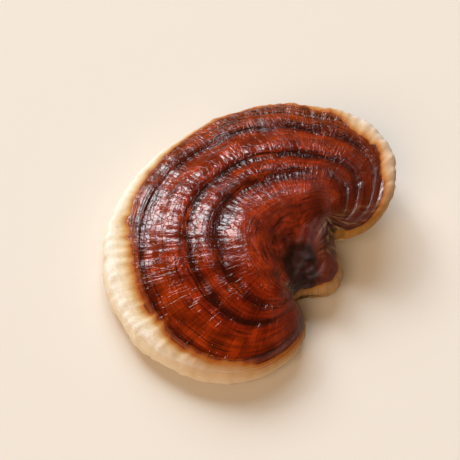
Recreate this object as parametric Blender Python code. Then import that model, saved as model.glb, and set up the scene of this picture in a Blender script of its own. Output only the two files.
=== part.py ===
"""A reishi mushroom: a lacquered, kidney-shaped cap and its short side stem, grown as one woody body.

It lies pore side down, on the flat cut of the stem and on the low left edge of the cap, with the right
lobe lifted. +Z is up, +Y runs from the stem to the front of the fan, and the origin is on the ground
under the middle of the body. The surface starts as a disc turned in growth space, where the radius is
how far the fungus has grown from its pit and the height tells top from underside. Every point of the
disc is then moved to where it grew.
"""
import math

import bmesh
import bpy
from mathutils import Vector

MM = 0.001
FULL_TURN = 360

# Edge of the body seen from above, clockwise from the notch left of the stem, in millimetres:
# x, y, height of the edge's nose, heading in degrees in which growth left the pit, and width of the
# bare margin outside the crust
EDGE = (
    (-27.4, -39.3, 8.0, 184, 2.0),
    (-30.4, -47.3, 7.5, 178, 2.5),
    (-35.4, -50.8, 7.5, 176, 3.0),
    (-43.4, -52.3, 7.5, 173.5, 4.0),
    (-54.9, -48.8, 6.8, 170, 4.2),
    (-65.4, -41.8, 6.3, 166, 4.6),
    (-73.9, -29.8, 6.1, 161, 5.0),
    (-77.9, -15.8, 6.1, 155, 6.5),
    (-77.6, -1.3, 6.1, 148, 8.5),
    (-74.6, 12.7, 6.1, 140, 10.5),
    (-67.4, 25.2, 6.1, 132, 12.0),
    (-58.9, 37.2, 6.1, 123, 13.0),
    (-43.9, 48.2, 6.1, 112, 13.2),
    (-27.4, 56.2, 6.1, 100, 11.5),
    (2.1, 59.7, 6.1, 82, 8.0),
    (23.1, 56.2, 6.1, 70, 7.0),
    (40.1, 49.2, 6.6, 59, 7.0),
    (54.1, 41.2, 8.0, 50, 8.0),
    (63.6, 31.7, 10.0, 43, 9.0),
    (69.1, 22.7, 12.0, 36, 10.0),
    (74.6, 14.2, 13.5, 30, 11.0),
    (77.1, -1.8, 17.0, 23, 12.0),
    (78.1, -15.8, 20.0, 17, 11.5),
    (76.1, -28.8, 22.0, 12.5, 11.0),
    (70.6, -41.3, 23.5, 9, 10.0),
    (60.6, -51.3, 24.0, 6.5, 9.0),
    (48.1, -57.3, 24.0, 4.5, 8.5),
    (31.6, -59.8, 23.0, 2.5, 6.0),
    (19.1, -56.3, 21.5, 1, 4.0),
    (13.6, -49.8, 19.0, -1, 3.0),
    (12.1, -43.3, 16.0, -8, 2.5),
    (8.1, -45.3, 13.0, -25, 2.5),
    (1.6, -50.8, 10.0, -50, 3.0),
    (-3.9, -54.3, 8.5, -72, 3.0),
    (-11.4, -53.3, 8.0, -95, 3.0),
    (-15.9, -47.8, 8.0, -118, 3.0),
    (-20.4, -41.3, 10.0, -150, 2.5),
)

# Pit in front of the stem, where all growth lines start
PIT = Vector((-9.9, -36.8))
PIT_RADIUS = 10.0
PIT_STRETCH = 3.0
PIT_STRETCH_HEADING = 40
CORNERS = ((174, 10.0, 19), (4, 11.5, 19))

# Oval hollow of the pit between the cap and the stem, and the fall of the top towards the stem's end
PIT_HOLLOW = Vector((-12.5, -37.0))
PIT_HOLLOW_RADII = (13.0, 8.5)
PIT_HOLLOW_HEADING = 25
PIT_HOLLOW_POWER = 1.4
PIT_DEPTH = 6.5
STEM_FALL = 6.5
STEM_FALL_REACH = 13.0
STEM_HEADING = -100

# Height of the body's middle layer at the pit, as the top and the underside follow it
TOP_BASE = 8.0
TOP_BASE_POWER = 1.6
UNDER_BASE = 12.0
UNDER_BASE_POWER = 0.6

# Rounded edge of the cap
NOSE_WIDTH = 6.5
NOSE_SHARE = 0.55
NOSE_RISE = 6.0
NOSE_DROP = 5.9

# Rise of the bare margin towards the crust, which fades again below this zone age
MARGIN_SLOPE = 0.2
RISE_AGE = 0.15

# Height of the crust above its border, by zone age: 0 at the pit's rim, 1 at the border. Each growth zone
# is a swell that falls to the groove outside it
CROWN = (
    (0.0, 10.2), (0.05, 10.8), (0.12, 12.3), (0.17, 13.0), (0.21, 13.0), (0.26, 12.5), (0.36, 10.4),
    (0.4, 9.9), (0.45, 9.9), (0.505, 9.1), (0.56, 7.6), (0.59, 7.2), (0.63, 7.2), (0.69, 6.5), (0.83, 3.0),
    (0.86, 2.4), (0.885, 2.4), (0.94, 1.5), (1.0, 0.0),
)

# Height of the stem's top above its end, by the share of the way from the pit
TONGUE = ((0.0, 10.2), (0.2, 8.9), (0.5, 5.4), (0.8, 1.9), (1.0, 0.0))

# The outermost groove runs closer to the crust's border towards the left lobe
OUTER_GROOVE = 0.86
OUTER_SHIFT = 0.12
OUTER_HEADINGS = (60, 165)
STEADY_AGE = 0.6

# Growth lines shorter than the second value carry less relief, and none below the first
FAN_SPAN = (8.0, 45.0)

# Foot of the stem: its oval flat cut, the part of the inner disc it takes up, and how far the foot
# flares into the pore side, counted in radii of the cut
FOOT = Vector((-3.9, -35.8))
FOOT_RADII = (11.5, 7.0)
FOOT_REACH = 0.5
FLARE = 1.1
STEM_BASE = 8.6

# Faceting: columns round the disc, and its rows on the top, the rounded edge, the underside and the foot.
# Lengths of growth space have no unit
COLUMNS = 104
PIT_ROWS = (0.25, 0.5, 0.75)
TOP_ROWS = (0.0, 0.05, 0.1, 0.15, 0.19, 0.24, 0.29, 0.34, 0.38, 0.42, 0.47, 0.51, 0.55, 0.59, 0.64, 0.7,
            0.76, 0.79, 0.82, 0.86, 0.9, 0.94, 0.97, 1.0)
NOSE_ROWS = 9
UNDER_ROWS = (1.0, 0.8, 0.6, 0.4, 0.24, 0.1, 0.0)
FOOT_ROWS = (0.83, 0.66, 0.5)
SAME_POINT = 0.0001

CRUST_COLOUR = (0.19, 0.022, 0.008, 1.0)
CRUST_ROUGHNESS = 0.3


def ease(low, high, value):
    """Goes smoothly from 0 at low to 1 at high."""
    share = min(max((value - low) / (high - low), 0.0), 1.0)
    return share * share * (3 - 2 * share)


def hermite(start, end, slope_start, slope_end, share, width):
    """Cubic from start to end with the given slopes at its ends."""
    square = share * share
    cube = square * share
    return (start * (2 * cube - 3 * square + 1) + slope_start * width * (cube - 2 * square + share)
            + end * (3 * square - 2 * cube) + slope_end * width * (cube - square))


def tangent(places, values):
    """Slope at the middle one of three unevenly spaced values."""
    back_width, ahead_width = places[1] - places[0], places[2] - places[1]
    back = (values[1] - values[0]) / back_width
    ahead = (values[2] - values[1]) / ahead_width
    return (back * ahead_width + ahead * back_width) / (back_width + ahead_width)


def level(table, place):
    """Smooth height read from a short table of places and heights."""
    places, heights = zip(*table)
    last = len(table) - 1
    place = min(max(place, places[0]), places[-1])
    part = max(i for i in range(last) if places[i] <= place)
    slopes = []
    for i in (part, part + 1):
        if 0 < i < last:
            slopes.append(tangent(places[i - 1:i + 2], heights[i - 1:i + 2]))
        else:
            slopes.append((heights[part + 1] - heights[part]) / (places[part + 1] - places[part]))
    width = places[part + 1] - places[part]
    return hermite(heights[part], heights[part + 1], *slopes, (place - places[part]) / width, width)


def edge_places():
    """Share of the way round at each edge point. The root of each chord keeps crowded points apart."""
    steps = [math.dist(point[:2], EDGE[(i + 1) % len(EDGE)][:2]) ** 0.5 for i, point in enumerate(EDGE)]
    return [sum(steps[:i]) / sum(steps) for i in range(len(EDGE) + 1)]


EDGE_PLACES = edge_places()


def edge_point(index):
    """Place and values of an edge point, for an index that may run past either end."""
    laps, i = divmod(index, len(EDGE))
    x, y, nose, heading, margin = EDGE[i]
    return EDGE_PLACES[i] + laps, (x, y, nose, heading - laps * FULL_TURN, margin)


def edge_at(turn):
    """Edge position, nose height, growth heading and margin width at a turn from 0 to 1."""
    i = max(k for k in range(len(EDGE)) if EDGE_PLACES[k] <= turn)
    places, points = zip(*(edge_point(i + k) for k in (-1, 0, 1, 2)))
    width = places[2] - places[1]
    values = []
    for column in zip(*points):
        slopes = tangent(places[:3], column[:3]), tangent(places[1:], column[1:])
        values.append(hermite(column[1], column[2], *slopes, (turn - places[1]) / width, width))
    x, y, nose, heading, margin = values
    return Vector((x, y)), nose, heading, margin


def root_reach(heading):
    """Step from the pit to its rim, which draws out into a corner towards each notch."""
    reach = PIT_RADIUS + PIT_STRETCH * math.cos(math.radians(heading - PIT_STRETCH_HEADING))
    for corner, length, width in CORNERS:
        away = (heading - corner + FULL_TURN / 2) % FULL_TURN - FULL_TURN / 2
        reach += length * math.exp(-(away / width) ** 2)
    return Vector((math.cos(math.radians(heading)), math.sin(math.radians(heading)))) * reach


def along_and_across(away, heading):
    """Parts of a step in plan that run along a heading and to the left of it."""
    turn = math.radians(heading)
    along = away.x * math.cos(turn) + away.y * math.sin(turn)
    across = away.y * math.cos(turn) - away.x * math.sin(turn)
    return along, across


def pit_dip(plan):
    """How far the oval hollow of the pit lowers the top, in millimetres."""
    along, across = along_and_across(plan - PIT_HOLLOW, PIT_HOLLOW_HEADING)
    radii = math.hypot(along / PIT_HOLLOW_RADII[0], across / PIT_HOLLOW_RADII[1])
    return PIT_DEPTH * math.exp(-radii ** (2 * PIT_HOLLOW_POWER))


def stem_fall(plan):
    """How far the top has dropped from the pit towards the end of the stem, in millimetres."""
    along, across = along_and_across(plan - PIT, STEM_HEADING)
    return STEM_FALL * ease(0, STEM_FALL_REACH, along)


def radii_from_foot(plan):
    """Distance from the middle of the foot, counted in radii of its cut."""
    away = plan - FOOT
    return math.hypot(away.x / FOOT_RADII[0], away.y / FOOT_RADII[1])


def flare_at(plan):
    """Share of the pore side's height that the flaring foot leaves: 0 on the cut, 1 away from it."""
    share = min(max((radii_from_foot(plan) - 1) / FLARE, 0.0), 1.0)
    return share * (2 - share)


class GrowthLine:
    """The line along which one side of the fungus grew, from the pit's rim to the nose of the edge."""

    def __init__(self, turn):
        self.edge, self.nose, heading, margin = edge_at(turn)
        self.root = PIT + root_reach(heading)
        self.fall = stem_fall(self.root)
        self.span = (self.edge - self.root).length
        self.body = 1 - min(NOSE_WIDTH / self.span, NOSE_SHARE)
        self.border = 1 - min(margin / self.span, NOSE_SHARE)
        self.outer_groove = OUTER_GROOVE + OUTER_SHIFT * ease(*OUTER_HEADINGS, heading)
        self.fan = ease(*FAN_SPAN, self.span)
        self.sole = FOOT + (self.root - FOOT) / radii_from_foot(self.root)
        self.under_base = STEM_BASE + (UNDER_BASE - STEM_BASE) * self.fan

    def grown_at(self, reach, side):
        """Share of the span grown, 0 at the root and 1 at the nose. A reach past 1 is on the rounded edge."""
        if reach <= 1:
            return max(reach, 0.0) * self.body
        return self.body + (1 - self.body) * math.sqrt(max(1 - side * side, 0.0))

    def age_at(self, grown):
        """Age of the growth zone: 0 at the pit's rim, 1 at the crust's border."""
        share = grown / self.border
        if share <= STEADY_AGE:
            return share
        if share <= self.outer_groove:
            part = (share - STEADY_AGE) / (self.outer_groove - STEADY_AGE)
            return STEADY_AGE + part * (OUTER_GROOVE - STEADY_AGE)
        part = min((share - self.outer_groove) / (1 - self.outer_groove), 1.0)
        return OUTER_GROOVE + part * (1 - OUTER_GROOVE)

    def place(self, reach, side):
        """Point on the finished surface, for a reach from -1 to 2 and a side of 1 on top, -1 below."""
        grown = self.grown_at(reach, side)
        plan = self.root.lerp(self.edge, grown)
        if side > 0:
            if reach < 0:
                plan = PIT.lerp(self.root, 1 + reach)
            height = TOP_BASE + (self.nose - TOP_BASE) * grown ** TOP_BASE_POWER + side * NOSE_RISE
            height += self.top_relief(reach, grown, plan) - pit_dip(plan)
        else:
            if reach < -FOOT_REACH:
                plan = FOOT.lerp(self.sole, (1 + reach) / (1 - FOOT_REACH))
            elif reach < 0:
                plan = self.root.lerp(self.sole, -reach / FOOT_REACH)
            height = self.under_base + (self.nose - self.under_base) * grown ** UNDER_BASE_POWER
            height = (height + side * NOSE_DROP) * flare_at(plan)
        return Vector((plan.x, plan.y, height)) * MM

    def top_relief(self, reach, grown, plan):
        """Height of the crust and the bare margin above the rounded edge."""
        if reach < 0:
            return CROWN[0][1] - stem_fall(plan)
        age = self.age_at(grown)
        risen = ease(0, RISE_AGE, age)
        rise = MARGIN_SLOPE * self.span * (1 - max(grown, self.border)) * risen
        cap = rise + level(CROWN, age) - self.fall * (1 - risen)
        stem = level(TONGUE, grown) * (1 - self.fall / TONGUE[0][1])
        return self.fan * cap + (1 - self.fan) * stem


def profile():
    """Half outline of the disc in growth space, from the top's pole round the nose to the lower pole."""
    points = [(0.0, 1.0)]
    points += [(share, 1.0) for share in PIT_ROWS]
    points += [(1 + row, 1.0) for row in TOP_ROWS]
    for i in range(1, NOSE_ROWS):
        angle = math.pi * i / NOSE_ROWS
        points.append((2 + math.sin(angle), math.cos(angle)))
    points += [(1 + row, -1.0) for row in UNDER_ROWS]
    points += [(row, -1.0) for row in FOOT_ROWS]
    points.append((0.0, -1.0))
    return points


def grown_body():
    """The whole fungus as one closed mesh."""
    form = bmesh.new()
    chain = [form.verts.new((radius, 0, height)) for radius, height in profile()]
    edges = [form.edges.new(pair) for pair in zip(chain, chain[1:])]
    bmesh.ops.spin(form, geom=chain + edges, cent=(0, 0, 0), axis=(0, 0, 1), angle=math.tau,
                   steps=COLUMNS, use_merge=True)
    bmesh.ops.remove_doubles(form, verts=form.verts, dist=SAME_POINT)
    lines = [GrowthLine(i / COLUMNS) for i in range(COLUMNS)]
    for vert in form.verts:
        radius = math.hypot(vert.co.x, vert.co.y)
        turn = math.atan2(-vert.co.y, vert.co.x) / math.tau
        line = lines[round(turn * COLUMNS) % COLUMNS]
        vert.co = line.place(radius - 1, vert.co.z)
    return form


def crust_material():
    """Varnished red-brown crust."""
    material = bpy.data.materials.new("lacquered_crust")
    material.use_nodes = True
    shader = material.node_tree.nodes["Principled BSDF"]
    shader.inputs["Base Color"].default_value = CRUST_COLOUR
    shader.inputs["Roughness"].default_value = CRUST_ROUGHNESS
    shader.inputs["Metallic"].default_value = 0.0
    material.diffuse_color = CRUST_COLOUR
    return material


def main():
    for old in list(bpy.data.objects):
        bpy.data.objects.remove(old)
    form = grown_body()
    mesh = bpy.data.meshes.new("mushroom")
    form.to_mesh(mesh)
    form.free()
    mesh.materials.append(crust_material())
    mesh.shade_smooth()
    mushroom = bpy.data.objects.new("mushroom", mesh)
    bpy.context.collection.objects.link(mushroom)


main()
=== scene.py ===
import functools
import math

import bmesh
import bpy
import numpy
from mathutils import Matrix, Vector, noise


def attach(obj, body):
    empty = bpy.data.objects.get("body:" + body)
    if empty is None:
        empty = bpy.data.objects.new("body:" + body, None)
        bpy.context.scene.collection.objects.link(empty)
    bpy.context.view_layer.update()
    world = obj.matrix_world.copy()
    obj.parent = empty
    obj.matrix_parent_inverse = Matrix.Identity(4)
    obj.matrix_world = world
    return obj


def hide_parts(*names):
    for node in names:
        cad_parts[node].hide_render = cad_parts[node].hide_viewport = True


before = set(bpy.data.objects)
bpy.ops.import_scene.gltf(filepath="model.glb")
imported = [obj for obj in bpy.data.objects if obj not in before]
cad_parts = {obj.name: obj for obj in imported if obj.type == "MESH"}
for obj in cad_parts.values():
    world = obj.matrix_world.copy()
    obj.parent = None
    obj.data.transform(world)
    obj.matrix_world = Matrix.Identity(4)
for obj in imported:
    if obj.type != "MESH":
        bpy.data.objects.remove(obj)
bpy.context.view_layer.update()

MM = 0.001
FULL_TURN = 360

# The body, grown by the same rule and from the same values as the solid

# Edge of the body seen from above, clockwise from the notch left of the stem, in millimetres:
# x, y, height of the edge's nose, heading in degrees in which growth left the pit, and width of the
# bare margin outside the crust
EDGE = (
    (-27.4, -39.3, 8.0, 184, 2.0),
    (-30.4, -47.3, 7.5, 178, 2.5),
    (-35.4, -50.8, 7.5, 176, 3.0),
    (-43.4, -52.3, 7.5, 173.5, 4.0),
    (-54.9, -48.8, 6.8, 170, 4.2),
    (-65.4, -41.8, 6.3, 166, 4.6),
    (-73.9, -29.8, 6.1, 161, 5.0),
    (-77.9, -15.8, 6.1, 155, 6.5),
    (-77.6, -1.3, 6.1, 148, 8.5),
    (-74.6, 12.7, 6.1, 140, 10.5),
    (-67.4, 25.2, 6.1, 132, 12.0),
    (-58.9, 37.2, 6.1, 123, 13.0),
    (-43.9, 48.2, 6.1, 112, 13.2),
    (-27.4, 56.2, 6.1, 100, 11.5),
    (2.1, 59.7, 6.1, 82, 8.0),
    (23.1, 56.2, 6.1, 70, 7.0),
    (40.1, 49.2, 6.6, 59, 7.0),
    (54.1, 41.2, 8.0, 50, 8.0),
    (63.6, 31.7, 10.0, 43, 9.0),
    (69.1, 22.7, 12.0, 36, 10.0),
    (74.6, 14.2, 13.5, 30, 11.0),
    (77.1, -1.8, 17.0, 23, 12.0),
    (78.1, -15.8, 20.0, 17, 11.5),
    (76.1, -28.8, 22.0, 12.5, 11.0),
    (70.6, -41.3, 23.5, 9, 10.0),
    (60.6, -51.3, 24.0, 6.5, 9.0),
    (48.1, -57.3, 24.0, 4.5, 8.5),
    (31.6, -59.8, 23.0, 2.5, 6.0),
    (19.1, -56.3, 21.5, 1, 4.0),
    (13.6, -49.8, 19.0, -1, 3.0),
    (12.1, -43.3, 16.0, -8, 2.5),
    (8.1, -45.3, 13.0, -25, 2.5),
    (1.6, -50.8, 10.0, -50, 3.0),
    (-3.9, -54.3, 8.5, -72, 3.0),
    (-11.4, -53.3, 8.0, -95, 3.0),
    (-15.9, -47.8, 8.0, -118, 3.0),
    (-20.4, -41.3, 10.0, -150, 2.5),
)
PIT = Vector((-9.9, -36.8))
PIT_RADIUS = 10.0
PIT_STRETCH = 3.0
PIT_STRETCH_HEADING = 40
CORNERS = ((174, 10.0, 19), (4, 11.5, 19))
PIT_DEPTH = 6.5
PIT_HOLLOW = Vector((-12.5, -37.0))
PIT_HOLLOW_RADII = (13.0, 8.5)
PIT_HOLLOW_HEADING = 25
PIT_HOLLOW_POWER = 1.4
TOP_BASE = 8.0
TOP_BASE_POWER = 1.6
UNDER_BASE = 12.0
UNDER_BASE_POWER = 0.6
NOSE_WIDTH = 6.5
NOSE_SHARE = 0.55
NOSE_RISE = 6.0
NOSE_DROP = 5.9
MARGIN_SLOPE = 0.2
RISE_AGE = 0.15
CROWN = ((0.0, 10.2), (0.05, 10.8), (0.12, 12.3), (0.17, 13.0), (0.21, 13.0), (0.26, 12.5), (0.36, 10.4),
         (0.4, 9.9), (0.45, 9.9), (0.505, 9.1), (0.56, 7.6), (0.59, 7.2), (0.63, 7.2), (0.69, 6.5),
         (0.83, 3.0), (0.86, 2.4), (0.885, 2.4), (0.94, 1.5), (1.0, 0.0))
TONGUE = ((0.0, 10.2), (0.2, 8.9), (0.5, 5.4), (0.8, 1.9), (1.0, 0.0))
STEM_FALL = 6.5
STEM_FALL_REACH = 13.0
STEM_HEADING = -100
OUTER_GROOVE = 0.86
OUTER_SHIFT = 0.12
OUTER_HEADINGS = (60, 165)
STEADY_AGE = 0.6
FAN_SPAN = (8.0, 45.0)
FOOT = Vector((-3.9, -35.8))
FOOT_RADII = (11.5, 7.0)
FOOT_REACH = 0.5
FLARE = 1.1
STEM_BASE = 8.6

# Rows and columns of the fine skin, and how its rows crowd towards the pit and the edge
COLUMNS = 500
PIT_ROWS = 14
TOP_ROWS = 116
NOSE_ROWS = 30
UNDER_ROWS = 24
FOOT_ROWS = 8
TOP_CROWDING = 0.85
UNDER_CROWDING = 1.4
SAME_POINT = 0.00001


def ease(low, high, value):
    """Goes smoothly from 0 at low to 1 at high."""
    share = min(max((value - low) / (high - low), 0.0), 1.0)
    return share * share * (3 - 2 * share)


def bell(value, width):
    """1 at 0, falling smoothly to nothing past the width on both sides."""
    return math.exp(-(value / width) ** 2)


def hermite(start, end, slope_start, slope_end, share, width):
    """Cubic from start to end with the given slopes at its ends."""
    square = share * share
    cube = square * share
    return (start * (2 * cube - 3 * square + 1) + slope_start * width * (cube - 2 * square + share)
            + end * (3 * square - 2 * cube) + slope_end * width * (cube - square))


def tangent(places, values):
    """Slope at the middle one of three unevenly spaced values."""
    back_width, ahead_width = places[1] - places[0], places[2] - places[1]
    back = (values[1] - values[0]) / back_width
    ahead = (values[2] - values[1]) / ahead_width
    return (back * ahead_width + ahead * back_width) / (back_width + ahead_width)


@functools.lru_cache(maxsize=None)
def level(table, place):
    """Smooth height read from a short table of places and heights."""
    places, heights = zip(*table)
    last = len(table) - 1
    place = min(max(place, places[0]), places[-1])
    part = max(i for i in range(last) if places[i] <= place)
    slopes = []
    for i in (part, part + 1):
        if 0 < i < last:
            slopes.append(tangent(places[i - 1:i + 2], heights[i - 1:i + 2]))
        else:
            slopes.append((heights[part + 1] - heights[part]) / (places[part + 1] - places[part]))
    width = places[part + 1] - places[part]
    return hermite(heights[part], heights[part + 1], *slopes, (place - places[part]) / width, width)


def edge_places():
    """Share of the way round at each edge point. The root of each chord keeps crowded points apart."""
    steps = [math.dist(point[:2], EDGE[(i + 1) % len(EDGE)][:2]) ** 0.5 for i, point in enumerate(EDGE)]
    return [sum(steps[:i]) / sum(steps) for i in range(len(EDGE) + 1)]


EDGE_PLACES = edge_places()


def edge_point(index):
    """Place and values of an edge point, for an index that may run past either end."""
    laps, i = divmod(index, len(EDGE))
    x, y, nose, heading, margin = EDGE[i]
    return EDGE_PLACES[i] + laps, (x, y, nose, heading - laps * FULL_TURN, margin)


def edge_at(turn):
    """Edge position, nose height, growth heading and margin width at a turn from 0 to 1."""
    i = max(k for k in range(len(EDGE)) if EDGE_PLACES[k] <= turn)
    places, points = zip(*(edge_point(i + k) for k in (-1, 0, 1, 2)))
    width = places[2] - places[1]
    values = []
    for column in zip(*points):
        slopes = tangent(places[:3], column[:3]), tangent(places[1:], column[1:])
        values.append(hermite(column[1], column[2], *slopes, (turn - places[1]) / width, width))
    x, y, nose, heading, margin = values
    return Vector((x, y)), nose, heading, margin


def root_reach(heading):
    """Step from the pit to its rim, which draws out into a corner towards each notch."""
    reach = PIT_RADIUS + PIT_STRETCH * math.cos(math.radians(heading - PIT_STRETCH_HEADING))
    for corner, length, width in CORNERS:
        away = (heading - corner + FULL_TURN / 2) % FULL_TURN - FULL_TURN / 2
        reach += length * bell(away, width)
    return Vector((math.cos(math.radians(heading)), math.sin(math.radians(heading)))) * reach


def along_and_across(away, heading):
    """Parts of a step in plan that run along a heading and to the left of it."""
    turn = math.radians(heading)
    along = away.x * math.cos(turn) + away.y * math.sin(turn)
    across = away.y * math.cos(turn) - away.x * math.sin(turn)
    return along, across


def pit_dip(plan):
    """How far the oval hollow of the pit lowers the top, in millimetres."""
    along, across = along_and_across(plan - PIT_HOLLOW, PIT_HOLLOW_HEADING)
    radii = math.hypot(along / PIT_HOLLOW_RADII[0], across / PIT_HOLLOW_RADII[1])
    return PIT_DEPTH * math.exp(-radii ** (2 * PIT_HOLLOW_POWER))


def stem_fall(plan):
    """How far the top has dropped from the pit towards the end of the stem, in millimetres."""
    along, across = along_and_across(plan - PIT, STEM_HEADING)
    return STEM_FALL * ease(0, STEM_FALL_REACH, along)


def radii_from_foot(plan):
    """Distance from the middle of the foot, counted in radii of its cut."""
    away = plan - FOOT
    return math.hypot(away.x / FOOT_RADII[0], away.y / FOOT_RADII[1])


def flare_at(plan):
    """Share of the pore side's height that the flaring foot leaves: 0 on the cut, 1 away from it."""
    share = min(max((radii_from_foot(plan) - 1) / FLARE, 0.0), 1.0)
    return share * (2 - share)


class GrowthLine:
    """The line along which one side of the fungus grew, from the pit's rim to the nose of the edge."""

    def __init__(self, turn):
        self.edge, self.nose, heading, self.margin = edge_at(turn)
        self.heading = heading
        self.round = Vector((math.cos(turn * math.tau), math.sin(turn * math.tau), 0))
        self.root = PIT + root_reach(heading)
        self.fall = stem_fall(self.root)
        self.span = (self.edge - self.root).length
        self.outward = (self.edge - self.root) / self.span
        self.body = 1 - min(NOSE_WIDTH / self.span, NOSE_SHARE)
        self.border = 1 - min(self.margin / self.span, NOSE_SHARE)
        self.outer_groove = OUTER_GROOVE + OUTER_SHIFT * ease(*OUTER_HEADINGS, heading)
        self.fan = ease(*FAN_SPAN, self.span)
        self.sole = FOOT + (self.root - FOOT) / radii_from_foot(self.root)
        self.under_base = STEM_BASE + (UNDER_BASE - STEM_BASE) * self.fan
        self.wobble = self.margin * (self.fan * self.relief(BORDER_WANDER) + self.relief(BORDER_RAGS))
        self.by_heading = {name: numpy.interp(heading, *zip(*table)) for name, table in BY_HEADING.items()}

    def grown_at(self, reach, side):
        """Share of the span grown, 0 at the root and 1 at the nose. A reach past 1 is on the rounded edge."""
        if reach <= 1:
            return max(reach, 0.0) * self.body
        return self.body + (1 - self.body) * math.sqrt(max(1 - side * side, 0.0))

    def age_at(self, grown):
        """Age of the growth zone: 0 at the pit's rim, 1 at the crust's border."""
        share = grown / self.border
        if share <= STEADY_AGE:
            return share
        if share <= self.outer_groove:
            part = (share - STEADY_AGE) / (self.outer_groove - STEADY_AGE)
            return STEADY_AGE + part * (OUTER_GROOVE - STEADY_AGE)
        part = min((share - self.outer_groove) / (1 - self.outer_groove), 1.0)
        return OUTER_GROOVE + part * (1 - OUTER_GROOVE)

    def past_border(self, reach, side, grown):
        """Millimetres past the last growth zone along the skin, less than 0 inside it."""
        past = (grown - self.border) * self.span
        if reach > 1:
            past += (1 - side) * NOSE_RISE
        if side < 0 and reach <= 1:
            past = (2 - grown - self.border) * self.span + 2 * NOSE_RISE
        return past

    def bare_at(self, reach, side, grown):
        """Millimetres past the crust's border, which wraps over the edge at some headings."""
        return self.past_border(reach, side, grown) - self.by_heading["wrap"] + self.wobble

    def relief(self, kind, along=0.0, drift=0.0):
        """Height of a relief that follows the growth, at a place along the line."""
        height, waves_round, waves_along, start = kind
        place = Vector((start[0], start[1], start[2] + along * waves_along + drift))
        return height * noise.noise(self.round * waves_round + place)

    def place(self, reach, side):
        """Point of the plain form in millimetres, for a reach from -1 to 2 and a side from 1 on top to -1."""
        grown = self.grown_at(reach, side)
        plan = self.root.lerp(self.edge, grown)
        if side > 0:
            if reach < 0:
                plan = PIT.lerp(self.root, 1 + reach)
            height = TOP_BASE + (self.nose - TOP_BASE) * grown ** TOP_BASE_POWER + side * NOSE_RISE
            height += self.top_relief(reach, grown, plan) - pit_dip(plan)
        else:
            if reach < -FOOT_REACH:
                plan = FOOT.lerp(self.sole, (1 + reach) / (1 - FOOT_REACH))
            elif reach < 0:
                plan = self.root.lerp(self.sole, -reach / FOOT_REACH)
            height = self.under_base + (self.nose - self.under_base) * grown ** UNDER_BASE_POWER
            height = (height + side * NOSE_DROP) * flare_at(plan)
        return Vector((plan.x, plan.y, height))

    def top_relief(self, reach, grown, plan):
        """Height of the crust and the bare margin above the rounded edge."""
        if reach < 0:
            return CROWN[0][1] - stem_fall(plan)
        age = self.age_at(grown)
        risen = ease(0.0, RISE_AGE, age)
        rise = MARGIN_SLOPE * self.span * (1 - max(grown, self.border)) * risen
        cap = rise + level(CROWN, round(age, 4)) - self.fall * (1 - risen)
        stem = level(TONGUE, round(grown, 4)) * (1 - self.fall / TONGUE[0][1])
        return self.fan * cap + (1 - self.fan) * stem


# Fine relief and marks of the skin, in millimetres

# Values that change with the growth heading, as pairs of a heading and a value
BY_HEADING = {
    # How far the crust wraps past its border over the rounded edge
    "wrap": ((-176.0, 2.5), (-150.0, 1.5), (-118.0, 2.0), (-85.0, 1.6), (-60.0, 1.8), (-45.0, 2.6),
             (-20.0, 4.0), (-8.0, 5.0), (0.0, 5.0), (3.0, 2.5), (5.0, 0.5), (9.0, 0.0), (12.5, 1.2),
             (16.0, 3.0), (20.0, 5.5), (25.0, 7.6), (30.0, 7.6), (43.0, 5.2), (50.0, 4.0), (59.0, 2.4),
             (70.0, 1.0), (82.0, 0.0), (140.0, 0.0), (148.0, -0.6), (155.0, -1.2), (161.0, -0.8),
             (166.0, 1.2), (170.0, 2.6), (175.0, 4.0), (184.0, 4.0)),
    # How cream the bare margin is: 0 is ochre, 1 is cream
    "pale": ((-176.0, 0.0), (-118.0, 0.1), (-72.0, 0.1), (-8.0, 0.0), (2.0, 0.0), (4.0, 0.35), (9.0, 0.6),
             (12.0, 0.65), (15.0, 0.65), (18.0, 0.5), (23.0, 0.3), (30.0, 0.1), (45.0, 0.05), (52.0, 0.2),
             (59.0, 0.6), (70.0, 0.9), (80.0, 1.0), (138.0, 1.0), (148.0, 0.8), (155.0, 0.55), (161.0, 0.4),
             (166.0, 0.2), (170.0, 0.0), (184.0, 0.0)),
    # How orange the youngest zone of the crust still is
    "young": ((-176.0, 0.5), (-150.0, 0.0), (8.0, 0.0), (14.0, 0.6), (18.0, 1.0), (45.0, 1.0), (56.0, 0.7),
              (66.0, 0.3), (82.0, 0.3), (120.0, 0.6), (150.0, 0.6), (165.0, 0.7), (172.0, 1.0), (184.0, 1.0)),
    # How worn the crust is: it frays at the notches. Beside them the lobes are darker brown: partly worn
    # crust, partly painted shade.
    "frayed": ((-176.0, 1.0), (-150.0, 0.7), (-120.0, 0.2), (-60.0, 0.0), (-35.0, 0.6), (-8.0, 1.0),
               (-2.0, 0.9), (4.0, 0.0), (174.0, 0.0), (179.0, 0.8), (184.0, 1.0)),
    "worn_and_shaded": ((-176.0, 0.6), (-118.0, 0.3), (-60.0, 0.4), (-8.0, 0.8), (4.0, 0.7), (9.0, 0.5), (14.0, 0.2),
             (25.0, 0.0), (172.0, 0.0), (184.0, 0.4)),
    # How strongly the short wrinkles along the growth stand out
    "ribbed": ((-176.0, 0.3), (8.0, 0.5), (20.0, 0.8), (60.0, 0.8), (76.0, 0.5), (88.0, 0.25), (114.0, 0.3),
               (128.0, 1.0), (160.0, 1.0), (184.0, 0.5)),
}
# What each point of the skin knows about itself besides its place in growth
MARKS = ("bare", "pale", "young", "under", "frayed", "worn_and_shaded", "ribbed", "stem", "pit")

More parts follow.
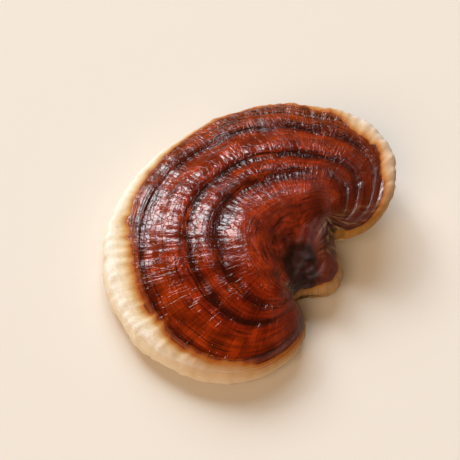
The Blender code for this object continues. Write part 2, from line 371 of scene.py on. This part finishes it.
# Relief that follows the growth: its height, its waves round the rim, its waves in one age, share of the span
# or millimetre along the growth, and the place in the noise where it starts. The drift makes the ridges waver
RIDGES = (0.1, 3, 30, (0, 0, 0))
RIDGE_DRIFT = (1, 6, 3, (1, 1, 0))
WRINKLES = (0.04, 38, 9, (0, 0, 0))
FOLDS = (0.18, 21, 5, (7, 0, 0))
SCALLOPS = (0.7, 9, 0.06, (5, 0, 0))
MARGIN_FOLDS = (0.6, 26, 0.1, (2, 0, 0))
STEM_FOLDS = (0.5, 26, 1.5, (0, 0, 0))
# Uneven course of the crust's border in the same way, but in shares of the bare margin's width
BORDER_WANDER = (0.3, 5, 0, (3, 0, 7))
BORDER_RAGS = (0.16, 22, 0, (0, 5, 1))
# Lumps that don't follow the growth: height and size
WARP = (0.35, 13)
FELT = (0.3, 3)
PIT_LUMPS = (0.9, 3.1)
PORE_SIDE_LUMPS = (0.12, 5)
# How far the crust stands above the bare margin, and the millimetres past its border over which it falls
CRUST_STEP = 0.25
STEP_FALL = (-0.4, 0.6)
# Ages and shares of the span over which parts of the relief start or end
WRINKLE_START = (0.05, 0.3)
FOLD_START = (0.15, 0.4)
CRUST_START = (0.0, 0.05)
ROOT_START = (0.0, 0.3)
PIT_LUMPS_END = (0.15, -0.15)

# Heights of the rounded edge, 1 on top and -1 below, over which it turns cream and is marked as turned under,
# and how cream it turns
CREAM_TURN = (0.7, -0.2)
UNDER_TURN = (0.2, -0.8)
LOW_PALENESS = 0.8
# Shares of the way to the pit's middle over which the frayed strands end
FRAY_END = (-0.6, 0.1)
# Margins narrower than this are coloured as if they had this width
LEAST_MARGIN = 3.0
# How much younger than its rim the middle of the pit counts, and the millimetres past the border that count
# as one whole age
PIT_AGE = 0.3
AGE_LENGTH = 80.0
# Faces of the skin that lie lower than this, in metres, are the cut
CUT_HEIGHT = 0.000001


def lumps_at(spot, kind):
    """Height of lumps at a spot in space."""
    height, size = kind
    return height * noise.noise(spot / size)


def skin_relief(line, spot, reach, side, grown):
    """How far the fine relief lifts the skin off the plain form at one spot."""
    lift = lumps_at(spot, WARP)
    if side < 0 and reach <= 1:
        return (lift + lumps_at(spot, PORE_SIDE_LUMPS)) * ease(*ROOT_START, reach)
    age = line.age_at(grown)
    bare = line.bare_at(reach, side, grown)
    cap = CRUST_STEP + line.relief(RIDGES, age, line.relief(RIDGE_DRIFT, age))
    cap += line.relief(WRINKLES, age) * ease(*WRINKLE_START, age)
    cap += line.relief(FOLDS, age) * ease(*FOLD_START, age)
    margin = lumps_at(spot, FELT) + (line.relief(SCALLOPS, bare) + line.relief(MARGIN_FOLDS, bare)) * line.fan
    crust = 1 - ease(*STEP_FALL, bare)
    lift += crust * line.fan * ease(*CRUST_START, reach) * cap + (1 - crust) * margin
    lift += (1 - line.fan) * ease(*ROOT_START, grown) * line.relief(STEM_FOLDS, grown)
    return lift + lumps_at(spot, PIT_LUMPS) * ease(*PIT_LUMPS_END, reach)


def marks_of(line, spot, reach, side, grown):
    """The marks of one point of the skin, by name."""
    marks = {name: line.by_heading[name] for name in ("young", "pale", "frayed", "worn_and_shaded", "ribbed")}
    marks["bare"] = line.bare_at(reach, side, grown) / max(line.margin, LEAST_MARGIN)
    marks["pale"] += (LOW_PALENESS - marks["pale"]) * marks["young"] * line.fan * ease(*CREAM_TURN, side)
    marks["frayed"] *= ease(*FRAY_END, reach)
    marks["pit"] = pit_dip(spot.xy) / PIT_DEPTH
    marks["under"] = 1.0 if side < 0 and reach <= 1 else ease(*UNDER_TURN, side)
    marks["stem"] = 1 - line.fan
    return marks


def skin_rows():
    """Half outline of the disc in growth space, from the top's pole round the nose to the lower pole."""
    points = [(i / PIT_ROWS, 1.0) for i in range(PIT_ROWS)]
    points += [(1 + (i / TOP_ROWS) ** TOP_CROWDING, 1.0) for i in range(TOP_ROWS)]
    for i in range(NOSE_ROWS + 1):
        angle = math.pi * i / NOSE_ROWS
        points.append((2 + math.sin(angle), math.cos(angle)))
    points += [(1 + (1 - i / UNDER_ROWS) ** UNDER_CROWDING, -1.0) for i in range(1, UNDER_ROWS + 1)]
    points += [(1 - (1 - FOOT_REACH) * i / FOOT_ROWS, -1.0) for i in range(1, FOOT_ROWS + 1)]
    points += [(FOOT_REACH * (1 - i / FOOT_ROWS), -1.0) for i in range(1, FOOT_ROWS + 1)]
    return points


def growth_disc():
    """Closed disc in growth space: a turn round the axis for each heading, and a row for each reach."""
    disc = bmesh.new()
    chain = [disc.verts.new((radius, 0, height)) for radius, height in skin_rows()]
    edges = [disc.edges.new(pair) for pair in zip(chain, chain[1:])]
    bmesh.ops.spin(disc, geom=chain + edges, cent=(0, 0, 0), axis=(0, 0, 1), angle=math.tau,
                   steps=COLUMNS, use_merge=True)
    bmesh.ops.remove_doubles(disc, verts=disc.verts, dist=SAME_POINT)
    return disc


def grown_skin():
    """The fine skin as a closed mesh that knows, at each point, where on the fungus it grew."""
    skin = growth_disc()
    growth = skin.verts.layers.float_vector.new("growth")
    layers = {name: skin.verts.layers.float.new(name) for name in MARKS}
    lines = [GrowthLine(i / COLUMNS) for i in range(COLUMNS)]
    for vert in skin.verts:
        reach, side = math.hypot(vert.co.x, vert.co.y) - 1, max(min(vert.co.z, 1), -1)
        turn = math.atan2(-vert.co.y, vert.co.x) / math.tau
        line = lines[round(turn * COLUMNS) % COLUMNS]
        grown = line.grown_at(reach, side)
        spot = line.place(reach, side)
        for name, value in marks_of(line, spot, reach, side, grown).items():
            vert[layers[name]] = value
        past = max(line.past_border(reach, side, grown), 0.0)
        age = line.age_at(grown) + min(reach, 0) * PIT_AGE + past / AGE_LENGTH
        vert[growth] = line.round + Vector((0, 0, age))
        if side > 0 or reach >= 0:
            across = math.sqrt(max(1 - side * side, 0))
            facing = Vector((line.outward.x * across, line.outward.y * across, side))
            spot += facing * skin_relief(line, spot, reach, side, grown)
        vert.co = spot * MM
    for face in skin.faces:
        if all(vert.co.z < CUT_HEIGHT for vert in face.verts):
            face.material_index = 1
    return skin


# Finishes

def linear(code):
    """Linear colour with alpha for an sRGB hex code."""
    parts = [int(code[i:i + 2], 16) / 255 for i in (1, 3, 5)]
    return [part / 12.92 if part <= 0.04045 else ((part + 0.055) / 1.055) ** 2.4 for part in parts] + [1.0]


def add(tree, kind, inputs=(), stops=(), output=0, **settings):
    """Adds a shader node with its settings and ramp stops, feeds its inputs and gives one of its outputs.

    Inputs come in the node's own order, or in a dictionary by name or number. A hex code is a colour.
    """
    node = tree.nodes.new("ShaderNode" + kind)
    for name, value in settings.items():
        setattr(node, name, value)
    for i, (place, colour) in enumerate(stops):
        element = node.color_ramp.elements[i] if i < 2 else node.color_ramp.elements.new(place)
        element.position = place
        element.color = linear(colour)
    for key, value in inputs.items() if isinstance(inputs, dict) else enumerate(inputs):
        if isinstance(value, bpy.types.NodeSocket):
            tree.links.new(value, node.inputs[key])
        else:
            node.inputs[key].default_value = linear(value) if isinstance(value, str) else value
    return node.outputs[output]


# Dried resin, cork and painted board all bend light about as much
IOR = 1.5


def finish(name, roughness):
    """New material with its node tree and shader."""
    material = bpy.data.materials.new(name)
    material.use_nodes = True
    shader = material.node_tree.nodes["Principled BSDF"]
    shader.inputs["Roughness"].default_value = roughness
    shader.inputs["IOR"].default_value = IOR
    return material, material.node_tree, shader


# Colours of the crust from the pit's rim (0) to its border (1)
CRUST = (
    (0.00, "#6E2410"), (0.12, "#80280F"), (0.22, "#84270B"), (0.30, "#8A2507"), (0.37, "#500E03"),
    (0.42, "#3C0B03"), (0.47, "#721B04"), (0.53, "#842305"), (0.575, "#420C03"), (0.60, "#300803"),
    (0.64, "#761B04"), (0.72, "#862604"), (0.78, "#8C2C05"), (0.83, "#762004"), (0.86, "#380C04"),
    (0.89, "#661B05"), (0.93, "#7E2A07"), (0.97, "#84300A"), (1.00, "#86350E"),
)
# Colours past the crust's border, by shares of the margin's width from 0.1 inside it to 1.1 outside
BARE_SPAN = (-0.1, 1.1)
PALE = (
    (0.00, "#A84A10"), (0.07, "#B4601C"), (0.16, "#C48E4C"), (0.26, "#D8B684"), (0.38, "#E8D4B0"),
    (0.55, "#F2E6CE"), (0.80, "#FBF6EC"), (1.00, "#F6EAD2"),
)
OCHRE = (
    (0.00, "#AC4E0E"), (0.10, "#B45C16"), (0.28, "#B86A1C"), (0.50, "#BC7626"), (0.75, "#BE7E30"),
    (1.00, "#BE863E"),
)
FRAYED = ((0.36, "#22110A"), (0.47, "#4A2414"), (0.57, "#7A5230"), (0.66, "#A88C58"))
# Darker brown of the pit: its own worn brown, with painted shade in its hollow
PIT_WEAR_AND_SHADE = ((0.35, "#1C0D08"), (0.68, "#401E14"))
PORES = ((0.15, "#8E6B42"), (0.5, "#D8BF93"))
CORK = ((0.3, "#5E3A20"), (0.7, "#9A6E42"))
VIVID_CRUST = "#AE3C0C"
YOUNG_CRUST = "#B2571A"
# Darker brown of the lobes beside the notches: partly worn crust, partly painted shade
WORN_AND_SHADED_CRUST = "#4A1C10"
STEM_CRUST = "#6A2716"
# Near black: painted shade in the cracks and furrows, and the colour of the dark growth lines and grooves
DARK_LINE_AND_CRACK_SHADE = "#1C0603"
STEM_LIP = "#8E6526"
STAIN = "#C99A5C"
CONTOUR = "#B98440"
TURNED_UNDER = "#A8702E"
OUTER_LINE = "#7A3A12"
BOARD = "#EDE6DB"

# Noises in space: cells to the metre, detail, and the output that is used
SPOT_NOISES = {
    "patches": (70.0, 3.0, "Fac"),  # 14 mm, drifts of the zones and of the border
    "blotches": (110.0, 1.0, "Fac"),  # 9 mm, clearer and darker varnish
    "stains": (160.0, 4.0, "Fac"),  # 6 mm, on the bare margin
    "lumps": (200.0, 3.0, "Fac"),  # 5 mm, in the pit
    "jitter": (500.0, 2.0, "Color"),  # 2 mm, ragged courses of the cracks
}
FELT_SCALE = 900.0  # 1.1 mm, tufts of the felt, drawn coarser than its fibres
PORE_SCALE = 1700.0  # 0.6 mm, drawn coarser than real pores of 0.2 mm, which are too fine to show
CORK_SCALE = 700.0  # 1.4 mm, growth grain of the cork

# Noises in growth space, where 1 is about 80 mm along and across the cap's rim: cells, and detail
GROWN_NOISES = {
    "bands": ((4.0, 4.0, 55.0), 4.0),  # 1.5 mm wide, 20 mm long, round the cap
    "lines": ((2.5, 2.5, 110.0), 1.0),  # 0.7 mm wide, 32 mm long, round the cap
    "streaks": ((55.0, 55.0, 4.0), 3.0),  # 1.5 mm wide, 20 mm long, along the growth
    "wrinkles": ((46.0, 46.0, 6.0), 1.0),  # 1.7 mm wide, 13 mm long, along the growth
    "strands": ((24.0, 24.0, 2.5), 3.0),  # 3.3 mm wide, 32 mm long, along the growth
}
# Cells in the same space, how ragged they are, and half the width of a gap, as a share of a cell
PLATES = ((32.0, 32.0, 32.0), 0.4, 0.05)  # 2.5 mm, parted by hairline cracks of 0.2 mm
CELLS = ((18.0, 18.0, 12.0), 0.35, 0.045)  # 4.4 mm wide and 6.7 mm long, parted by furrows of 0.5 mm
# Ages of the narrow grooves beside the last zone, the last two on crust that wraps over the edge
RIM_GROOVES = (0.842, 0.862, 0.888, 0.915, 1.035, 1.055)
GROOVE_WIDTH = 0.005

# Share of the crack's colour in each kind of dark mark: painted shade in the cracks and furrows, and the
# own darker colour of the growth lines and grooves
LINE_DARKNESS_AND_CRACK_SHADE = {"cracks": 0.375, "furrows": 0.375, "lines": 0.75, "grooves": 0.525}
# How far each pattern lifts the crust, in millimetres
LIFTS = {"lean": 0.03, "wrinkles": 0.26, "streaks": 0.008, "bands": 0.012, "rings": 0.08, "cracks": -0.07,
         "furrows": -0.06, "lines": -0.05, "fray": 1.2, "grooves": -0.06}
FELT_LIFT = 0.25
CORK_LIFT = 0.3
# Roughness from the clearest plate to the dullest, where the crust is worn, and on the bare margin
GLOSS = (0.05, 0.11)
WORN = 0.5
BARE = 0.8


def known_places(tree):
    """What the finish knows about a point of the skin, and the noises that its patterns share, by name."""
    skin = {name: add(tree, "Attribute", output="Fac", attribute_name=name) for name in MARKS}
    skin["growth"] = add(tree, "Attribute", output="Vector", attribute_name="growth")
    skin["age"] = add(tree, "SeparateXYZ", (skin["growth"],), output="Z")
    skin["spot"] = add(tree, "TexCoord", output="Object")
    for name, (scale, detail, output) in SPOT_NOISES.items():
        skin[name] = add(tree, "TexNoise", {"Vector": skin["spot"], "Scale": scale, "Detail": detail},
                         output=output)
    for name, (scale, detail) in GROWN_NOISES.items():
        place = add(tree, "Mapping", {"Vector": skin["growth"], "Scale": scale})
        skin[name] = add(tree, "TexNoise", {"Vector": place, "Scale": 1.0, "Detail": detail})
    return skin


def drifted(tree, skin, name, **amounts):
    """A value of the skin, moved to and fro by its noises, each by its own amount."""
    value = skin[name]
    for pattern, amount in amounts.items():
        value = add(tree, "Math", (skin[pattern], amount, value), operation="MULTIPLY_ADD")
    return add(tree, "Math", (value, sum(amounts.values()) / 2), operation="SUBTRACT")


def add_wrinkles(tree, skin):
    """Short wrinkles along the growth, in groups 9 mm wide, on the headings that are marked as ribbed."""
    groups = add(tree, "MapRange", (skin["blotches"], 0.46, 0.6))
    wrinkles = add(tree, "MapRange", (skin["wrinkles"], 0.54, 0.7))
    wrinkles = add(tree, "Math", (wrinkles, groups), operation="MULTIPLY")
    ribbed = add(tree, "MapRange", (skin["age"], 0.15, 0.35))
    ribbed = add(tree, "Math", (skin["ribbed"], ribbed), operation="MULTIPLY")
    skin["wrinkles"] = add(tree, "Math", (wrinkles, ribbed), operation="MULTIPLY")


def add_lines(tree, skin):
    """Thin dark growth lines, which crowd beside the border where the crust is young, and the rings there."""
    rim = add(tree, "MapRange", (skin["age"], 0.8, 0.86))
    skin["rings"] = add(tree, "Math", (skin["bands"], rim), operation="MULTIPLY")
    crowding = add(tree, "MapRange", (skin["young"], 0.2, 0.7))
    crowding = add(tree, "Math", (crowding, rim), operation="MULTIPLY")
    crowd = add(tree, "MapRange", (skin["lines"], 0.5, 0.58))
    crowd = add(tree, "Math", (crowd, crowding), operation="MULTIPLY")
    few = add(tree, "MapRange", (skin["lines"], 0.6, 0.68))
    skin["lines"] = add(tree, "Math", (few, crowd), operation="MAXIMUM")


def add_plates(tree, skin):
    """Plates that each lean their own way, the cracks that part them in patches, and the wider furrows."""
    calm = add(tree, "MapRange", (skin["ribbed"], 0.4, 1.0, 1.0, 0.25))
    cracked = add(tree, "MapRange", (skin["patches"], 0.4, 0.6))
    furrowed = add(tree, "MapRange", (skin["age"], 0.2, 0.3))
    places = {}
    for name, where, cells in (("cracks", cracked, PLATES), ("furrows", furrowed, CELLS)):
        scale, raggedness, half_width = cells
        place = add(tree, "Mapping", {"Vector": skin["growth"], "Scale": scale})
        place = add(tree, "VectorMath", (skin["jitter"], (raggedness,) * 3, place), operation="MULTIPLY_ADD")
        gap = add(tree, "TexVoronoi", {"Vector": place, "Scale": 1.0}, feature="DISTANCE_TO_EDGE")
        gap = add(tree, "MapRange", (gap, half_width, 0.0))
        gap = add(tree, "Math", (gap, where), operation="MULTIPLY")
        skin[name] = add(tree, "Math", (gap, calm), operation="MULTIPLY")
        places[name] = place
    plates = add(tree, "TexVoronoi", {"Vector": places["cracks"], "Scale": 1.0}).node.outputs
    inside = add(tree, "VectorMath", (places["cracks"], plates["Position"]), operation="SUBTRACT")
    slope = add(tree, "VectorMath", (plates["Color"], (0.5, 0.5, 0.5)), operation="SUBTRACT")
    skin["lean"] = add(tree, "VectorMath", (inside, slope), output="Value", operation="DOT_PRODUCT")
    skin["shade"] = add(tree, "SeparateXYZ", (plates["Color"],), output="X")


def add_grooves(tree, skin):
    """Narrow grooves that run beside the border and waver with it."""
    wavy = drifted(tree, skin, "age", patches=0.03)
    skin["grooves"] = 0.0
    for groove in RIM_GROOVES:
        away = add(tree, "Math", (wavy, groove), operation="SUBTRACT")
        away = add(tree, "Math", (away,), operation="ABSOLUTE")
        near = add(tree, "MapRange", (away, GROOVE_WIDTH, 0.0))
        skin["grooves"] = add(tree, "Math", (skin["grooves"], near), operation="MAXIMUM")


def add_border(tree, skin):
    """Ragged border of the crust: how far past it a point lies, and whether the crust is gone there."""
    past = drifted(tree, skin, "bare", streaks=0.12, patches=0.3)
    skin["past"] = add(tree, "MapRange", (past, *BARE_SPAN))
    skin["bared"] = add(tree, "MapRange", (skin["past"], 0.02, 0.09))


def crust_colour(tree, skin):
    """Zones that drift, then bands, streaks, blotches and plates, the worn places and the dark marks.
    Painted shade darkens the lobes beside the notches, the pit's hollow, and the cracks and furrows.
    """
    zones = drifted(tree, skin, "age", patches=0.05, bands=0.03)
    colour = add(tree, "ValToRGB", (zones,), CRUST)
    clear = add(tree, "MapRange", (skin["blotches"], 0.5, 0.68, 0.0, 0.5))
    banded = add(tree, "MapRange", (skin["bands"], 0.42, 0.58))
    vivid = add(tree, "Math", (clear, banded), operation="MULTIPLY")
    young = drifted(tree, skin, "bare", patches=0.6)
    young = add(tree, "MapRange", (young, -0.3, -0.08))
    young = add(tree, "Math", (skin["young"], young), operation="MULTIPLY")
    # The deeper the pit's hollow, the more painted shade over its worn brown
    hollow = add(tree, "MapRange", (skin["pit"], 0.2, 0.6))
    dark = 0.0
    for name, share in LINE_DARKNESS_AND_CRACK_SHADE.items():
        mark = add(tree, "Math", (skin[name], share), operation="MULTIPLY")
        dark = add(tree, "Math", (dark, mark), operation="MAXIMUM")
    for blend, share, layer in (
        ("MULTIPLY", 1.0, add(tree, "MapRange", (skin["bands"], 0.3, 0.7, 0.6, 1.4))),
        ("MULTIPLY", 1.0, add(tree, "MapRange", (skin["streaks"], 0.3, 0.7, 0.75, 1.3))),
        ("MULTIPLY", 1.0, add(tree, "MapRange", (skin["blotches"], 0.32, 0.6, 0.6, 1.15))),
        ("MIX", vivid, VIVID_CRUST),
        ("MULTIPLY", 1.0, add(tree, "MapRange", (skin["shade"], 0.0, 1.0, 0.85, 1.15))),
        ("MIX", young, YOUNG_CRUST),
        # Painted shade, partly wear: darker brown on the lobes beside the notches
        ("MIX", add(tree, "MapRange", (skin["worn_and_shaded"], 0.0, 1.0, 0.0, 0.7)), WORN_AND_SHADED_CRUST),
        ("MIX", skin["stem"], STEM_CRUST),
        ("MIX", skin["frayed"], add(tree, "ValToRGB", (skin["strands"],), FRAYED)),
        ("MIX", hollow, add(tree, "ValToRGB", (skin["lumps"],), PIT_WEAR_AND_SHADE)),
        # Painted shade in the cracks and furrows, and the dark colour of the growth lines and grooves
        ("MIX", dark, DARK_LINE_AND_CRACK_SHADE),
    ):
        colour = add(tree, "Mix", {0: share, 6: colour, 7: layer}, output=2, data_type="RGBA",
                     blend_type=blend)
    return colour


def margin_colour(tree, skin):
    """Cream where the cap still grew fast, ochre at the notches and on the stem, with stains and contours."""
    lip = add(tree, "MapRange", (skin["streaks"], 0.35, 0.6, 0.2, 1.0))
    lip = add(tree, "Math", (lip, skin["stem"]), operation="MULTIPLY")
    course = add(tree, "Math", (skin["bare"], 12.0), operation="MULTIPLY")
    course = add(tree, "Math", (skin["patches"], 4.0, course), operation="MULTIPLY_ADD")
    contours = add(tree, "TexNoise", {"W": course, "Scale": 1.0, "Detail": 2.0}, noise_dimensions="1D")
    turned = drifted(tree, skin, "under", stains=0.2)
    outer = add(tree, "MapRange", (skin["young"], 0.62, 0.95))
    outer = add(tree, "Math", (skin["grooves"], outer), operation="MULTIPLY")
    colour = add(tree, "ValToRGB", (skin["past"],), OCHRE)
    for share, layer in (
        (lip, STEM_LIP),
        (skin["pale"], add(tree, "ValToRGB", (skin["past"],), PALE)),
        (add(tree, "MapRange", (skin["stains"], 0.52, 0.72, 0.0, 0.3)), STAIN),
        (add(tree, "MapRange", (contours, 0.54, 0.66, 0.0, 0.15)), CONTOUR),
        (add(tree, "MapRange", (turned, 0.58, 0.8)), TURNED_UNDER),
        (outer, OUTER_LINE),
    ):
        colour = add(tree, "Mix", {0: share, 6: colour, 7: layer}, output=2, data_type="RGBA")
    return colour


def skin_colour(tree, skin):
    """Crust inside its border, bare margin past it, and the buff pore side with its pores."""
    pores = add(tree, "TexVoronoi", {"Vector": skin["spot"], "Scale": PORE_SCALE})
    colour = crust_colour(tree, skin)
    for share, layer in (
        (skin["bared"], margin_colour(tree, skin)),
        (add(tree, "MapRange", (skin["under"], 0.85, 1.0)), add(tree, "ValToRGB", (pores,), PORES)),
    ):
        colour = add(tree, "Mix", {0: share, 6: colour, 7: layer}, output=2, data_type="RGBA")
    return colour


def skin_roughness(tree, skin):
    """Hard gloss that differs from plate to plate, duller in the pit and on the stem, and matt where bare."""
    gloss = add(tree, "MapRange", (skin["shade"], 0.0, 1.0, *GLOSS))
    worn = add(tree, "MapRange", (skin["age"], 0.2, 0.08))
    worn = add(tree, "Math", (skin["pit"], worn), operation="MAXIMUM")
    worn = add(tree, "Math", (worn, skin["stem"]), operation="MAXIMUM")
    rough = add(tree, "Mix", {0: worn, 2: gloss, 3: WORN})
    return add(tree, "Mix", {0: skin["bared"], 2: rough, 3: BARE})


def skin_bump(tree, skin):
    """Relief of the crust's patterns, and felt where the crust is gone."""
    skin["fray"] = add(tree, "Math", (skin["strands"], skin["frayed"]), operation="MULTIPLY")
    height = 0.0
    for name, lift in LIFTS.items():
        height = add(tree, "Math", (skin[name], lift, height), operation="MULTIPLY_ADD")
    felt = {"Vector": skin["spot"], "Scale": FELT_SCALE, "Detail": 5.0, "Roughness": 0.6}
    felt = add(tree, "TexNoise", felt)
    felt = add(tree, "Math", (felt, FELT_LIFT), operation="MULTIPLY")
    height = add(tree, "Mix", {0: skin["bared"], 2: height, 3: felt})
    return add(tree, "Bump", {"Height": height, "Distance": MM, "Strength": 1.0})


def skin_finish():
    """Laccate crust and bare margin of a dried bracket fungus.

    The crust is a thin brittle varnish of resin over cork. Hard gloss, with sharp patches of light that
    hairline cracks break into plates, short wrinkles along the growth and narrow bands across it. The
    margin is matt felt without varnish, and the pit and the notches are worn, less glossy. The crust's colour
    holds painted shade on the lobes beside the notches, in the pit's hollow and in the cracks and furrows.
    """
    material, tree, shader = finish("laccate_crust_and_felt_margin", 0.3)
    skin = known_places(tree)
    for pattern in (add_wrinkles, add_lines, add_plates, add_grooves, add_border):
        pattern(tree, skin)
    tree.links.new(skin_colour(tree, skin), shader.inputs["Base Color"])
    tree.links.new(skin_roughness(tree, skin), shader.inputs["Roughness"])
    tree.links.new(skin_bump(tree, skin), shader.inputs["Normal"])
    return material


def cut_finish():
    """Sawn cork of the stem: matt brown, with a grain that stands out as fine pits."""
    material, tree, shader = finish("sawn_bracket_cork", 0.85)
    spot = add(tree, "TexCoord", output="Object")
    grain = add(tree, "TexNoise", {"Vector": spot, "Scale": CORK_SCALE, "Detail": 5.0})
    tree.links.new(add(tree, "ValToRGB", (grain,), CORK), shader.inputs["Base Color"])
    tree.links.new(add(tree, "Bump", {"Height": grain, "Distance": CORK_LIFT * MM}), shader.inputs["Normal"])
    return material


def table_finish():
    """Matt warm-white studio board: soft even light, with no mirror image of the cap."""
    material, tree, shader = finish("matt_warm_white_board", 0.9)
    shader.inputs["Base Color"].default_value = linear(BOARD)
    shader.inputs["Specular IOR Level"].default_value = 0.2
    return material


# The piece

def make_mushroom():
    """Cap, pore side and stem, which grew as one body, with the cut under the stem."""
    skin = grown_skin()
    mesh = bpy.data.meshes.new("reishi_body")
    skin.to_mesh(mesh)
    skin.free()
    mesh.shade_smooth()
    for material in (skin_finish(), cut_finish()):
        mesh.materials.append(material)
    piece = bpy.data.objects.new("reishi_body", mesh)
    bpy.context.collection.objects.link(piece)
    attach(piece, "root")
    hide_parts("mushroom")


# Studio: camera, light and table

# The photograph looks down 54 degrees, from 63 degrees left of the stem's side
CAMERA_AZIMUTH = -63.0
CAMERA_HEIGHT = 54.0
CAMERA_DISTANCE = 0.5
CAMERA_AIM = Vector((-0.006618, 0.001284, 0.015))
CAMERA_CLIP = 0.01
LENS = 85.0
SENSOR = 36.0

# The soft boxes hang far off, so that the table is lit evenly
LIGHT_DISTANCE = 8.0
# Direction from the camera's point of view, size, power, colour, and whether the varnish mirrors the box
LIGHTS = {
    "key": ((-0.45, 0.7, 0.56), 2.7, 300.0, "#F6FBFF", True),
    "softener": ((-0.083, 0.786, 0.61), 5.4, 560.0, "#E6F2FF", False),
    "fill": ((-0.5, -0.93, 0.92), 6.4, 420.0, "#FFE1C0", False),
}
ROOM_COLOUR = "#FFC990"
ROOM_LIGHT = 0.1
TABLE_RADIUS = 6.0
TABLE_SIDES = 96


def seen(right, ahead, up):
    """Direction from the camera's point of view, with up kept vertical, in the object's frame."""
    turn = math.radians(CAMERA_AZIMUTH)
    return Vector((right * math.cos(turn) - ahead * math.sin(turn),
                   right * math.sin(turn) + ahead * math.cos(turn), up))


def make_camera():
    """Camera at the photograph's place."""
    data = bpy.data.cameras.new("camera")
    data.lens = LENS
    data.sensor_width = SENSOR
    data.clip_start = CAMERA_CLIP
    camera = bpy.data.objects.new("camera", data)
    bpy.context.collection.objects.link(camera)
    tilt = math.radians(CAMERA_HEIGHT)
    back = seen(0, -math.cos(tilt), math.sin(tilt))
    camera.location = CAMERA_AIM + back * CAMERA_DISTANCE
    camera.rotation_euler = (-back).to_track_quat("-Z", "Y").to_euler()
    bpy.context.scene.camera = camera


def make_light(name, direction, size, power, colour, mirrored):
    """Square soft box that hangs in a direction and faces the middle of the table."""
    data = bpy.data.lights.new(name, "AREA")
    data.shape = "SQUARE"
    data.size = size
    data.energy = power
    data.color = linear(colour)[:3]
    light = bpy.data.objects.new(name, data)
    bpy.context.collection.objects.link(light)
    light.visible_glossy = mirrored
    light.location = direction.normalized() * LIGHT_DISTANCE
    light.rotation_euler = (-direction).to_track_quat("-Z", "Y").to_euler()


def make_table():
    """Round board that reaches past the picture on all sides."""
    board = bmesh.new()
    bmesh.ops.create_circle(board, cap_ends=True, segments=TABLE_SIDES, radius=TABLE_RADIUS)
    mesh = bpy.data.meshes.new("table")
    board.to_mesh(mesh)
    board.free()
    mesh.materials.append(table_finish())
    table = bpy.data.objects.new("table", mesh)
    bpy.context.collection.objects.link(table)


def make_studio():
    """Table, soft boxes and the warm light of the room."""
    make_table()
    for name, (direction, *settings) in LIGHTS.items():
        make_light(name, seen(*direction), *settings)
    world = bpy.data.worlds.new("studio")
    bpy.context.scene.world = world
    world.use_nodes = True
    background = world.node_tree.nodes["Background"]
    background.inputs["Color"].default_value = linear(ROOM_COLOUR)
    background.inputs["Strength"].default_value = ROOM_LIGHT
    bpy.context.scene.view_settings.view_transform = "Standard"


make_camera()
make_mushroom()
make_studio()
